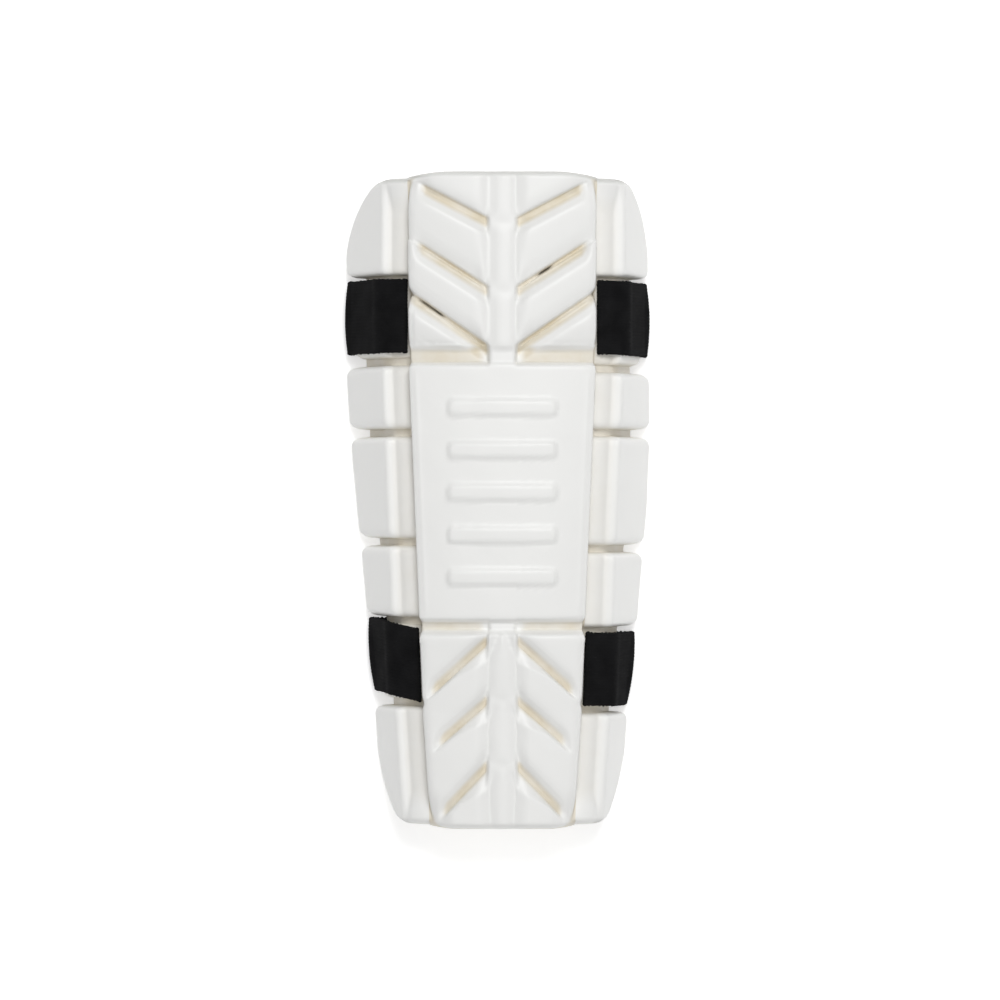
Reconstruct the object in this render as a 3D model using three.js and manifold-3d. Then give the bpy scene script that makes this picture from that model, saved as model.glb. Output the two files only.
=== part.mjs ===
// A cricket arm guard: a moulded foam shell of raised pads on a thin web, with two elastic straps.
// It lies face up on its rims. X runs across the arm, Y along it towards the elbow, and Z up.
import * as THREE from 'three';
import { mergeVertices } from 'three/addons/utils/BufferGeometryUtils.js';
import Module from 'manifold-3d';

const wasm = await Module();
wasm.setup();

// Driving dimensions, in millimetres and radians
const degree = Math.PI / 180;
const guardLength = 265;

// The left wing reaches further out than the right one. Moving the whole guard by this much across
// brings the middle of its box over the origin.
const middleShift = 1.7;

// The inner face in section: a shallow roof arc, a hinge arc and a straight wing down to the rim
const roofHalf = 37.4;
const roofTilt = 12 * degree;
const hingeArc = 8;
const crownHeight = 31;
const wingTilt = 64 * degree;
const rimLand = 1.2;

// The section along the guard, from the elbow to the wrist. "at" is a share of half the length, and
// the others are shares of roofHalf, of crownHeight and, for the two wings, of wingTilt.
const stations = [
  { at: 1, roof: 1, crown: 1, left: 0.94, right: 1.08 },
  { at: 0.45, roof: 1, crown: 1, left: 0.93, right: 1.062 },
  { at: 0.2, roof: 0.963, crown: 1, left: 0.943, right: 0.998 },
  { at: 0, roof: 0.933, crown: 0.968, left: 0.974, right: 0.986 },
  { at: -0.38, roof: 0.88, crown: 0.865, left: 1.02, right: 1.013 },
  { at: -0.64, roof: 0.845, crown: 0.76, left: 1.023, right: 1.06 },
  { at: -1, roof: 0.76, crown: 0.7, left: 1, right: 1.07 },
];

// How the outline closes at each end: the wings sweep in over a long corner to the block's shallow
// arc. "power" is how square the corner is, and "land" how far outside the roof it meets the arc.
const elbowEnd = { sweep: 33, power: 1.6, land: 4, arc: 2.4, arcHalf: 22 };
const wristEnd = { sweep: 30.5, power: 1.5, land: 5, arc: 1.5, arcHalf: 20 };

// Foam thicknesses, measured from the inner face
const webThickness = 3.2;
const coreThickness = 8;
const blockThickness = 16.5;
const spineThickness = 15.2;
const panelThickness = 15;
const borderThickness = 13;
const wingThickness = 9.9;
const rimPadThickness = 9;
const padSink = 1.8;

// Bevels round the tops of the pads
const padBevel = 2;
const wingBevel = 2.3;
const ribBevel = 0.6;

// The centre blocks: a chevron block at the elbow, a flat panel, and a chevron block at the wrist.
// Their ends are shares of half the length.
const blockShares = { upperEnd: 0.4423, panelTop: 0.4211, panelBottom: -0.3698, lowerTop: -0.394 };
const blockMargin = 1.4;
const endMargin = 0.15;
const blockCorner = 3;
const borderCorner = 1;
const barCorner = 1.6;
const spineCorner = 1.2;
const coreInset = 0.9;
const borderInset = 0.5;
const grooveWidth = 3.6;
const borderWidth = 4;
const spineHalf = 5;
const spineValley = 1.7;
const spineTip = 1.2;

// The chevron grooves. "at" is where one meets the spine, as a share of half the length, and "slope"
// is its rise along the guard for each millimetre across.
const upperGrooves = [
  { at: 0.842, slope: 0.566 },
  { at: 0.634, slope: 0.684 },
  { at: 0.457, slope: 0.735 },
];
const lowerGrooves = [
  { at: -0.423, slope: -0.99 },
  { at: -0.605, slope: -0.96 },
  { at: -0.804, slope: -1.16 },
];

// Arrow-topped spine pieces of the wrist block, as shares of half the length
const spineArrows = [
  { tip: -0.4, shoulder: -0.51, end: -0.6 },
  { tip: -0.6, shoulder: -0.695, end: -0.796 },
  { tip: -0.8, shoulder: -0.89, end: -0.989 },
];

// Plain raised ribs on the panel
const ribCount = 5;
const ribPitch = 17;
const ribWidth = 6.5;
const ribHalf = 20;
const ribHeight = 1.3;
const ribCorner = 2;

// The wings: gaps between the pads, as shares of half the length. The second and the sixth pad of each
// wing carry a strap.
const gapWidth = 3;
const notchDepth = 7;
const wingCorner = 3;
const wingFoot = 2.6;
const slitPadFoot = 4;
const wingRidge = 2.4;
const ridgeSlope = 3.5;
const rimStep = 0.4;
const leastReach = 1;
const wingSides = [
  { side: 1, gaps: [0.671, 0.403, 0.208, -0.146, -0.397, -0.637] },
  { side: -1, gaps: [0.675, 0.424, 0.208, -0.125, -0.365, -0.616] },
];
const strappedPads = [1, 5];

// Straps. "at" is a share of half the length, and the others say how far the strap sits towards the
// elbow from there at each rim and each slit.
const strapWidth = 30;
const strapThickness = 1.8;
const strapClearance = 0.6;
const slitWidth = 4;
const slitMargin = 1;
const slitCorner = 1;
const strapLap = 44;
const hookThickness = 1.2;
const hookMargin = 2;
const upperStrap = { at: 0.56, leftRim: 0.5, leftSlit: 0.4, rightSlit: -0.2, rightRim: -0.4 };
const lowerStrap = { at: -0.507, leftRim: 4.6, leftSlit: 1, rightSlit: -0.7, rightRim: -1.2 };

// The path of a strap: how far it leans out and rises as it leaves a slit, how far it lies flat on the
// pad, how far before the rim it starts to turn, how far it bows out there, and how it lands below.
// Between slit and rim it moves along the guard by a growing share of the difference between them.
const strapPath = { lean: 0.9, rise: 4, flat: 5, turn: 3, bow: 0.9, tuck: 0.5, land: 9, step: 4 };
const strapSkew = { ridge: 0.4, flat: 0.7, turn: 1 };

// Worked-out sizes
const halfLength = guardLength / 2;
const upperBlockEnd = blockShares.upperEnd * halfLength;
const panelTop = blockShares.panelTop * halfLength;
const panelBottom = blockShares.panelBottom * halfLength;
const lowerBlockTop = blockShares.lowerTop * halfLength;
const strapPadDrop = strapThickness + strapClearance;
const strapRecess = (rimLand + strapThickness + strapClearance) / Math.sin(wingTilt);

// A value of a station table at a place along the guard, straight between its rows
function blend(rows, key, share) {
  const next = rows.findIndex((row) => row.at <= share);
  if (next === 0) return rows[0][key];
  if (next < 0) return rows.at(-1)[key];
  const [a, b] = [rows[next - 1], rows[next]];
  return THREE.MathUtils.mapLinear(share, a.at, b.at, a[key], b[key]);
}

// The inner face's section at y, with the wing of one side: arc lengths, radii and its crown's height
function sectionAt(y, side = 1) {
  const share = y / halfLength;
  const roof = roofHalf * blend(stations, 'roof', share);
  const crown = crownHeight * blend(stations, 'crown', share);
  const tilt = wingTilt * blend(stations, side < 0 ? 'left' : 'right', share);
  const roofRadius = roof / roofTilt;
  const hingeRadius = hingeArc / (tilt - roofTilt);
  const fall = roofRadius * (1 - Math.cos(roofTilt))
    + hingeRadius * (Math.cos(roofTilt) - Math.cos(tilt));
  const wing = (crown + rimLand - fall) / Math.sin(tilt);
  return { roof, crown, tilt, roofRadius, hingeRadius, rim: roof + hingeArc + wing };
}

// How steep the inner face is at arc length t from the centre line
function tiltAt(t, section) {
  const { roof, tilt, roofRadius, hingeRadius } = section;
  if (t <= roof) return t / roofRadius;
  return Math.min(tilt, roofTilt + (t - roof) / hingeRadius);
}

// The point at arc length u across the inner face, at y along it and h above it
function place(u, y, h) {
  const side = Math.sign(u);
  const section = sectionAt(y, side);
  const { roof, tilt, roofRadius, hingeRadius, crown } = section;
  const t = Math.abs(u);
  const lean = tiltAt(t, section);
  const roofLean = Math.min(lean, roofTilt);
  const hingeLean = Math.max(lean, roofTilt);
  const run = Math.max(0, t - roof - hingeArc);
  const x = roofRadius * Math.sin(roofLean)
    + hingeRadius * (Math.sin(hingeLean) - Math.sin(roofTilt))
    + run * Math.cos(tilt);
  const fall = roofRadius * (1 - Math.cos(roofLean))
    + hingeRadius * (Math.cos(roofTilt) - Math.cos(hingeLean))
    + run * Math.sin(tilt);
  return new THREE.Vector3(side * (x + h * Math.sin(lean)), y, crown - fall + h * Math.cos(lean));
}

// Arc length from the centre line to the outline at y, on one side
function rimAt(y, side = 1) {
  const { roof, rim } = sectionAt(y, side);
  const end = y > 0 ? elbowEnd : wristEnd;
  const inside = halfLength - Math.abs(y);
  if (inside >= end.sweep) return rim;
  if (inside >= end.arc) {
    const along = (end.sweep - inside) / (end.sweep - end.arc);
    const corner = roof + end.land;
    return corner + (rim - corner) * (1 - along ** end.power) ** (1 / end.power);
  }
  return roof - (roof - end.arcHalf) * ((end.arc - inside) / end.arc) ** 2;
}

// A closed solid from points and triangles, turned the right way out
function makeSolid(points, triangles) {
  const volume = triangles.reduce((sum, [a, b, c]) => {
    const normal = new THREE.Vector3().crossVectors(points[b], points[c]);
    return sum + points[a].dot(normal);
  }, 0);
  const outward = volume > 0 ? triangles : triangles.map(([a, b, c]) => [a, c, b]);
  return new wasm.Manifold(new wasm.Mesh({
    numProp: 3,
    vertProperties: new Float32Array(points.flatMap((p) => p.toArray())),
    triVerts: new Uint32Array(outward.flat()),
  }));
}

// Triangles of the bands between closed rings of equal count, each ring after the one before
function bandTriangles(ringCount, pointCount) {
  const triangles = [];
  for (let ring = 0; ring < ringCount - 1; ring += 1) {
    for (let i = 0; i < pointCount; i += 1) {
      const a = ring * pointCount + i;
      const b = ring * pointCount + ((i + 1) % pointCount);
      triangles.push([a, b, b + pointCount], [a, b + pointCount, a + pointCount]);
    }
  }
  return triangles;
}

// A convex outline moved inwards by one distance on every edge
function insetOutline(corners, distance) {
  const turn = THREE.ShapeUtils.area(corners) > 0 ? 1 : -1;
  const lines = corners.map((corner, i) => {
    const along = corners[(i + 1) % corners.length].clone().sub(corner).normalize();
    const inward = new THREE.Vector2(-along.y, along.x).multiplyScalar(turn * distance);
    return { from: corner.clone().add(inward), along };
  });
  return lines.map((line, i) => {
    const before = lines.at(i - 1);
    const offset = line.from.clone().sub(before.from);
    const reach = offset.cross(line.along) / before.along.cross(line.along);
    return before.from.clone().addScaledVector(before.along, reach);
  });
}

// A convex outline with rounded corners, and its long edges divided so that it can follow a curve. A
// corner takes at most a share of the edges beside it.
const edgeStep = 32;
const cornerShare = 0.4;
function roundOutline(corners, radius, edgeCounts, cornerSteps) {
  const arcs = corners.map((corner, i) => {
    const before = corners.at(i - 1).clone().sub(corner);
    const after = corners[(i + 1) % corners.length].clone().sub(corner);
    const halfAngle = Math.acos(before.dot(after) / before.length() / after.length()) / 2;
    const room = cornerShare * Math.min(before.length(), after.length());
    const cut = Math.min(radius / Math.tan(halfAngle), room);
    const start = corner.clone().addScaledVector(before.normalize(), cut);
    const end = corner.clone().addScaledVector(after.normalize(), cut);
    return new THREE.QuadraticBezierCurve(start, corner, end).getPoints(cornerSteps);
  });
  return arcs.flatMap((arc, i) => {
    const end = arc.at(-1);
    const next = arcs[(i + 1) % arcs.length][0];
    const steps = edgeCounts[i];
    const shares = Array.from({ length: steps - 1 }, (_, k) => (k + 1) / steps);
    const between = shares.map((share) => end.clone().lerp(next, share));
    return [...arc, ...between];
  });
}

// One pad, or one cutter. Its outline is convex, in arc length across and length along. Each level
// insets it and drops it below the surface height, and scaled rings close its top and its foot.
const bevelLevels = (bevel, rows) =>
  rows.map(([inset, drop]) => ({ inset: inset * bevel, drop: drop * bevel }));
const padLevels = bevelLevels(padBevel, [[0.3, 1.1], [1, 0]]);
const wingLevels = bevelLevels(wingBevel, [[0.17, 1.13], [0.43, 0.39], [1, 0]]);
const ribLevels = bevelLevels(ribBevel, [[0, 1], [1, 0]]);
const cutterLevels = [{ inset: 0, drop: 0 }];
const leastRadius = 0.8;
const leastRise = 0.3;
const footScales = [0.35, 0.7];
const crownScales = [0.66, 0.33];
function makePad({
  outline, radius, height, foot = padSink, levels = padLevels, topScales = [], cornerSteps = 1,
}) {
  const corners = outline.map(([u, y]) => new THREE.Vector2(u, y));
  const edgeCounts = corners.map((corner, i) => {
    const next = corners[(i + 1) % corners.length];
    return Math.max(1, Math.ceil(corner.distanceTo(next) / edgeStep));
  });
  const rings = [];
  const addRing = (points, heightAt) => {
    rings.push(points.map((p) => place(p.x, p.y, heightAt(p))));
  };
  const total = corners.reduce((sum, corner) => sum.add(corner), new THREE.Vector2());
  const centre = total.divideScalar(corners.length);
  const scaled = (points, scale) => points.map((p) => centre.clone().lerp(p, scale));
  const base = roundOutline(corners, radius, edgeCounts, cornerSteps);
  footScales.forEach((scale) => addRing(scaled(base, scale), () => foot));
  addRing(base, () => foot);
  let top = base;
  levels.forEach(({ inset, drop }) => {
    const inner = insetOutline(corners, inset);
    top = roundOutline(inner, Math.max(radius - inset, leastRadius), edgeCounts, cornerSteps);
    addRing(top, (p) => Math.max(height(p.x, p.y) - drop, foot + leastRise));
  });
  topScales.forEach((scale) => addRing(scaled(top, scale), (p) => height(p.x, p.y)));
  const points = rings.flat();
  const count = base.length;
  const triangles = bandTriangles(rings.length, count);
  const footCentre = points.push(place(centre.x, centre.y, foot)) - 1;
  const topCentre = points.push(place(centre.x, centre.y, height(centre.x, centre.y))) - 1;
  const lastRing = (rings.length - 1) * count;
  for (let i = 0; i < count; i += 1) {
    const next = (i + 1) % count;
    triangles.push([footCentre, next, i], [topCentre, lastRing + i, lastRing + next]);
  }
  return makeSolid(points, triangles);
}

// The thin web that everything stands on. Its columns follow the roof, the hinge and the wing.
const roofColumns = 5;
const hingeColumns = 3;
const rowStep = 15;
const endRows = [0, 0.2, 0.55, 0.96, 1, 1.8, 3.2, 5.4, 8.5, 13];
const columnPinch = 0.04;
function makeWeb() {
  const elbowRows = endRows.map((share) => halfLength - share * elbowEnd.arc);
  const wristRows = endRows.map((share) => share * wristEnd.arc - halfLength).reverse();
  const middleCount = Math.ceil((elbowRows.at(-1) - wristRows[0]) / rowStep);
  const middle = Array.from({ length: middleCount - 1 }, (_, i) =>
    THREE.MathUtils.lerp(elbowRows.at(-1), wristRows[0], (i + 1) / middleCount));
  const rows = [...elbowRows, ...middle, ...wristRows];
  const columns = roofColumns + hingeColumns + 1;
  const rings = rows.map((y) => {
    const { roof } = sectionAt(y);
    const half = (side) => Array.from({ length: columns }, (_, i) => {
      const k = i + 1;
      const rim = rimAt(y, side);
      const onRoof = roof * k / roofColumns;
      const onHinge = roof + hingeArc * (k - roofColumns) / hingeColumns;
      const full = k <= roofColumns ? onRoof : onHinge;
      const own = k === columns ? rim : full;
      return side * Math.min(own, rim - columnPinch * (columns - k));
    });
    const across = [...half(-1).reverse(), 0, ...half(1)];
    const outer = across.map((u) => place(u, y, webThickness));
    const inner = across.map((u) => place(u, y, 0)).reverse();
    return [...outer, ...inner];
  });
  const count = rings[0].length;
  const triangles = bandTriangles(rings.length, count);
  const lastRing = (rings.length - 1) * count;
  for (let i = 0; i < count / 2 - 1; i += 1) {
    const quad = [i, i + 1, count - 2 - i, count - 1 - i];
    const [a, b, c, d] = quad;
    const [e, f, g, h] = quad.map((corner) => lastRing + corner);
    triangles.push([b, a, c], [a, d, c], [e, f, g], [e, g, h]);
  }
  return makeSolid(rings.flat(), triangles);
}

// Half the width of the centre blocks at y, as arc length on the inner face
const blockEdge = (y) => sectionAt(y).roof - blockMargin;

// Where a chevron groove runs at arc length u from the centre line
const grooveAt = (groove, u) => groove.at * halfLength + groove.slope * (u - spineHalf);

// Makes the same outline on the right and on the left
function bothSides(outline) {
  return [1, -1].map((side) => outline.map(([u, y]) => [side * u, y]));
}

// The chevron bars of one block, on its right side. Grooves run from the elbow to the wrist, and the
// first and the last bar are triangles against the block's ends.
function chevronOutlines(grooves, top, bottom) {
  const inner = spineHalf + spineValley;
  const half = grooveWidth / 2;
  const middleEdge = blockEdge((top + bottom) / 2);
  const bars = grooves.slice(1).map((lower, i) => {
    const upper = grooves[i];
    const ends = [upper, lower].map((groove) => Math.max(grooveAt(groove, middleEdge), bottom));
    const reach = Math.min(...ends.map(blockEdge));
    return [
      [inner, grooveAt(lower, inner) + half],
      [reach, Math.max(grooveAt(lower, reach) + half, bottom)],
      [reach, Math.max(grooveAt(upper, reach) - half, bottom + grooveWidth)],
      [inner, grooveAt(upper, inner) - half],
    ];
  });
  const first = grooves[0];
  const last = grooves.at(-1);
  const cross = (groove, y) => spineHalf + (y - groove.at * halfLength) / groove.slope;
  if (first.slope > 0) {
    const tip = Math.min(cross(first, top - half), blockEdge(top));
    const heel = Math.max(cross(last, bottom + half), inner);
    const outer = blockEdge(bottom);
    return [
      [[inner, grooveAt(first, inner) + half], [tip, top], [inner, top]],
      ...bars,
      [[heel, bottom], [outer, bottom], [outer, grooveAt(last, outer) - half]],
    ];
  }
  const tip = Math.min(cross(last, bottom + half), blockEdge(bottom));
  const heel = Math.max(cross(first, top - half), inner);
  const outer = blockEdge(top);
  return [
    [[heel, top], [outer, grooveAt(first, outer) + half], [outer, top]],
    ...bars,
    [[inner, bottom], [tip, bottom], [inner, grooveAt(last, inner) - half]],
  ];
}

// The low core that the bars of a block stand on, and the border that ties their outer ends together
function blockFrame(top, bottom) {
  const rightEdge = (inset) => [
    [blockEdge(bottom) - inset, bottom + inset],
    [blockEdge(top) - inset, top - inset],
  ];
  const [low, high] = rightEdge(coreInset);
  const core = [[-low[0], low[1]], low, high, [-high[0], high[1]]];
  const edge = rightEdge(borderInset);
  const border = [...edge, ...edge.map(([u, y]) => [u - borderWidth, y]).reverse()];
  const atCore = () => coreThickness;
  const atBorder = () => borderThickness;
  return [
    makePad({ outline: core, radius: blockCorner, height: atCore, topScales: crownScales }),
    ...bothSides(border).map((outline) => makePad({ outline, radius: borderCorner, height: atBorder })),
  ];
}

function makeUpperBlock() {
  const top = halfLength - endMargin;
  const borderTop = halfLength - elbowEnd.arc - endMargin;
  const bars = chevronOutlines(upperGrooves, top, upperBlockEnd).flatMap(bothSides);
  const spine = [
    [-spineHalf, upperBlockEnd],
    [spineHalf, upperBlockEnd],
    [spineHalf, top],
    [-spineHalf, top],
  ];
  return [
    ...blockFrame(borderTop, upperBlockEnd),
    ...bars.map((outline) => makePad({ outline, radius: barCorner, height: () => blockThickness })),
    makePad({ outline: spine, radius: spineCorner, height: () => spineThickness }),
  ];
}

function makeLowerBlock() {
  const bottom = -halfLength + endMargin;
  const borderBottom = -halfLength + wristEnd.arc + endMargin;
  const bars = chevronOutlines(lowerGrooves, lowerBlockTop, bottom).flatMap(bothSides);
  const arrows = spineArrows.map(({ tip, shoulder, end }) => [
    [-spineHalf, Math.max(end * halfLength, bottom)],
    [spineHalf, Math.max(end * halfLength, bottom)],
    [spineHalf, shoulder * halfLength],
    [spineTip, tip * halfLength],
    [-spineTip, tip * halfLength],
    [-spineHalf, shoulder * halfLength],
  ]);
  return [
    ...blockFrame(lowerBlockTop, borderBottom),
    ...bars.map((outline) => makePad({ outline, radius: barCorner, height: () => blockThickness })),
    ...arrows.map((outline) => makePad({ outline, radius: spineCorner, height: () => spineThickness })),
  ];
}

function makePanel() {
  const [narrow, wide] = [panelBottom, panelTop].map(blockEdge);
  const slab = makePad({
    outline: [[-narrow, panelBottom], [narrow, panelBottom], [wide, panelTop], [-wide, panelTop]],
    radius: blockCorner,
    height: () => panelThickness,
    topScales: crownScales,
  });
  const middle = (panelTop + panelBottom) / 2;
  const ribs = Array.from({ length: ribCount }, (_, i) => {
    const y = middle + (i - (ribCount - 1) / 2) * ribPitch;
    const [low, high] = [y - ribWidth / 2, y + ribWidth / 2];
    return makePad({
      outline: [[-ribHalf, low], [ribHalf, low], [ribHalf, high], [-ribHalf, high]],
      radius: ribCorner,
      height: () => panelThickness + ribHeight,
      foot: panelThickness - padSink,
      levels: ribLevels,
    });
  });
  return [slab, ...ribs];
}

// Height of a wing pad: a flat outer facet, thinning a little to the rim, and an inner facet that falls
// from the ridge to the groove beside the block
function wingHeight(drop, foot) {
  return (u, y) => {
    const section = sectionAt(y, u);
    const t = Math.abs(u);
    const rest = section.tilt - tiltAt(t, section);
    const along = THREE.MathUtils.clamp((t - section.roof) / (section.rim - section.roof), 0, 1);
    const thick = THREE.MathUtils.lerp(wingThickness, rimPadThickness, along) - drop;
    const facet = (thick + section.hingeRadius) / Math.cos(rest) - section.hingeRadius;
    const rise = webThickness + (t - section.roof - foot) * ridgeSlope;
    return Math.min(facet, Math.max(rise, webThickness));
  };
}

// The pads of one wing, each from the groove beside the block to the rim
const sweptShares = [0, 0.5, 0.85];
function makeWingPads({ side, gaps }) {
  const edges = [1, ...gaps, -1].map((share) => share * halfLength);
  return edges.slice(1).map((lower, i) => {
    const strapped = strappedPads.includes(i);
    const top = i > 0 ? edges[i] - gapWidth / 2 : edges[i] - elbowEnd.arc;
    const bottom = i < gaps.length ? lower + gapWidth / 2 : lower + wristEnd.arc;
    const foot = strapped ? slitPadFoot : wingFoot;
    const recess = strapped ? strapRecess : 0;
    const innerAt = (y) => sectionAt(y).roof + foot;
    const outerAt = (y) => Math.max(rimAt(y, side) - recess - rimStep, innerAt(y) + leastReach);
    const sweepRows = (end, last) => sweptShares.map((share) =>
      THREE.MathUtils.lerp(last - Math.sign(last) * (end.sweep - end.arc), last, share));
    const upper = i > 0 ? [top] : sweepRows(elbowEnd, top);
    const under = i < gaps.length ? [bottom] : sweepRows(wristEnd, bottom);
    const swept = [...under, ...upper].sort((a, b) => a - b);
    const outline = [
      ...swept.map((y) => [outerAt(y), y]),
      [innerAt(top), top],
      [innerAt(bottom), bottom],
    ].map(([u, y]) => [side * u, y]);
    return makePad({
      outline,
      radius: wingCorner,
      height: wingHeight(strapped ? strapPadDrop : 0, foot),
      levels: wingLevels,
      cornerSteps: 2,
    });
  });
}

// Cutters for one wing: a notch at each gap, and the recess that brings a strapped rim in. Cutters
// start below the inner face and end above the pads.
const cutterDepth = 4;
const cutterReach = 12;
const recessCorner = 0.5;
function makeWingCutters({ side, gaps }) {
  const cut = (depth, top, bottom, radius) => {
    const [low, high] = [bottom, top].map((y) => rimAt(y, side));
    const outline = [
      [low - depth, bottom],
      [low + cutterReach, bottom],
      [high + cutterReach, top],
      [high - depth, top],
    ].map(([u, y]) => [side * u, y]);
    const height = () => wingThickness + cutterDepth;
    return makePad({ outline, radius, height, foot: -cutterDepth, levels: cutterLevels });
  };
  const notches = gaps.map((share) => {
    const y = share * halfLength;
    return cut(notchDepth, y + gapWidth / 2, y - gapWidth / 2, gapWidth / 3);
  });
  const recesses = strappedPads.map((pad) => {
    const [top, bottom] = [gaps[pad - 1], gaps[pad]].map((share) => share * halfLength);
    return cut(strapRecess, top, bottom, recessCorner);
  });
  return [...notches, ...recesses];
}

// The slits beside the blocks, where a strap comes through
const slitCentre = (y) => sectionAt(y).roof + slitWidth / 2 - blockMargin / 2;
function makeSlits(strap) {
  const half = strapWidth / 2 + slitMargin;
  const sides = [{ side: 1, shift: strap.rightSlit }, { side: -1, shift: strap.leftSlit }];
  return sides.map(({ side, shift }) => {
    const [low, high] = [-half, half].map((across) => strap.at * halfLength + shift + across);
    const outline = [
      [slitCentre(low) - slitWidth / 2, low],
      [slitCentre(low) + slitWidth / 2, low],
      [slitCentre(high) + slitWidth / 2, high],
      [slitCentre(high) - slitWidth / 2, high],
    ].map(([u, y]) => [side * u, y]);
    const height = () => webThickness + cutterDepth;
    return makePad({ outline, radius: slitCorner, height, foot: -cutterDepth, levels: cutterLevels });
  });
}

// Everything below the surface that the guard lies on, which flattens the rims' edges
function makeFloorCutter() {
  const slab = new THREE.BoxGeometry(4 * roofHalf, 2 * guardLength, 4 * rimLand);
  slab.translate(0, 0, -2 * rimLand);
  slab.deleteAttribute('normal');
  slab.deleteAttribute('uv');
  const { attributes: { position }, index } = mergeVertices(slab);
  const points = Array.from({ length: position.count }, (_, i) =>
    new THREE.Vector3().fromBufferAttribute(position, i));
  const triangles = Array.from({ length: index.count / 3 }, (_, i) =>
    [0, 1, 2].map((corner) => index.getX(3 * i + corner)));
  return makeSolid(points, triangles);
}

function makeShell() {
  const raised = [
    makeWeb(),
    ...makeUpperBlock(),
    ...makePanel(),
    ...makeLowerBlock(),
    ...wingSides.flatMap(makeWingPads),
  ].reduce((whole, piece) => whole.add(piece));
  const cutters = [
    ...wingSides.flatMap(makeWingCutters),
    ...[upperStrap, lowerStrap].flatMap(makeSlits),
    makeFloorCutter(),
  ];
  return cutters.reduce((whole, cutter) => whole.subtract(cutter), raised);
}

// The middle line of a strap at one place across its width: from its lower end under the guard, round
// the left rim, through both slits under the roof, round the right rim and back over its own end
function strapLine(strap, across) {
  const half = strapThickness / 2;
  const lift = half + strapClearance;
  const high = half + strapThickness + hookThickness + 2 * strapClearance;
  const centre = strap.at * halfLength + across;
  const wingRun = (side, slitShift, rimShift) => {
    const [ys, yr] = [centre + slitShift, centre + rimShift];
    const at = (u, y, h) => place(side * u, y, h);
    const over = (u, share) => {
      const y = THREE.MathUtils.lerp(ys, yr, share);
      return at(u, y, wingHeight(strapPadDrop, slitPadFoot)(side * u, y) + lift);
    };
    const { roof } = sectionAt(ys);
    const slit = slitCentre(ys);
    const mouth = slit - slitWidth / 2;
    const ridge = sectionAt(yr).roof + slitPadFoot + wingRidge;
    const rim = rimAt(yr, side) - strapRecess;
    const rimTop = rimPadThickness - strapPadDrop;
    const under = at(rim, yr, 0).x;
    return [
      at(roof / 2, ys, -lift),
      at(mouth - slitMargin, ys, -lift),
      at(mouth + lift * Math.SQRT1_2, ys, -lift * Math.SQRT1_2),
      at(mouth + lift, ys, 0),
      at(slit, ys, webThickness),
      at(slit + strapPath.lean, ys, webThickness + strapPath.rise),
      over(ridge, strapSkew.ridge),
      over(ridge + strapPath.flat, strapSkew.flat),
      over(rim - strapPath.turn, strapSkew.turn),
      at(rim + lift * Math.SQRT1_2, yr, rimTop + lift * Math.SQRT1_2),
      at(rim + lift + strapPath.bow, yr, rimPadThickness / 2),
      new THREE.Vector3(under - side * strapPath.tuck, yr, half),
      new THREE.Vector3(under - side * strapPath.land, yr, half),
    ];
  };
  const left = wingRun(-1, strap.leftSlit, strap.leftRim);
  const right = wingRun(1, strap.rightSlit, strap.rightRim);
  const meet = centre + (strap.leftRim + strap.rightRim) / 2;
  const lap = strapLap / 2;
  const roofMiddle = place(0, centre + (strap.leftSlit + strap.rightSlit) / 2, -lift);
  return [
    new THREE.Vector3(lap, meet, half),
    new THREE.Vector3(0, meet, half),
    ...left.reverse(),
    roofMiddle,
    ...right,
    new THREE.Vector3(lap + strapPath.step, meet, high),
    new THREE.Vector3(0, meet, high),
    new THREE.Vector3(-lap, meet, high),
  ];
}

// A strap as one closed band: its middle line, carried across the width and given its thickness. No
// point of it goes below the surface that the guard lies on.
const strapSteps = 93;
function makeStrap(strap) {
  const edges = [-strapWidth / 2, strapWidth / 2].map((across) => {
    const curve = new THREE.CatmullRomCurve3(strapLine(strap, across), false, 'centripetal');
    return Array.from({ length: strapSteps + 1 }, (_, i) => {
      const point = curve.getPoint(i / strapSteps);
      point.setZ(Math.max(point.z, strapThickness / 2));
      const along = curve.getTangent(i / strapSteps);
      const out = new THREE.Vector3(-along.z, 0, along.x).normalize();
      return { point, out };
    });
  });
  const rings = Array.from({ length: strapSteps + 1 }, (_, i) => {
    const side = (sign) => edges.map((edge) =>
      edge[i].point.clone().addScaledVector(edge[i].out, sign * strapThickness / 2));
    return [...side(1), ...side(-1).reverse()];
  });
  const count = rings[0].length;
  const triangles = bandTriangles(rings.length, count);
  const lastRing = (rings.length - 1) * count;
  triangles.push([1, 0, 2], [0, 3, 2]);
  triangles.push([lastRing, lastRing + 1, lastRing + 2], [lastRing, lastRing + 2, lastRing + 3]);
  return makeSolid(rings.flat(), triangles);
}

// The hook-and-loop tab between the two ends of a strap
function makeHookTab(strap) {
  const length = strapLap - 2 * hookMargin;
  const width = strapWidth - 2 * hookMargin;
  const tab = new THREE.BoxGeometry(length, width, hookThickness);
  const y = strap.at * halfLength + (strap.leftRim + strap.rightRim) / 2;
  tab.translate(0, y, strapThickness + strapClearance + hookThickness / 2);
  return tab;
}

// A plain buffer geometry from a solid
function toGeometry(solid) {
  const mesh = solid.getMesh();
  const geometry = new THREE.BufferGeometry();
  geometry.setAttribute('position', new THREE.BufferAttribute(mesh.vertProperties, 3));
  geometry.setIndex(new THREE.BufferAttribute(mesh.triVerts, 1));
  geometry.computeVertexNormals();
  return geometry;
}

const foam = { color: 0xeeeeeb, roughness: 0.45, metalness: 0 };
const elastic = { color: 0x1a1a1b, roughness: 0.9, metalness: 0 };
const hookTape = { color: 0x151516, roughness: 0.95, metalness: 0 };

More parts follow.
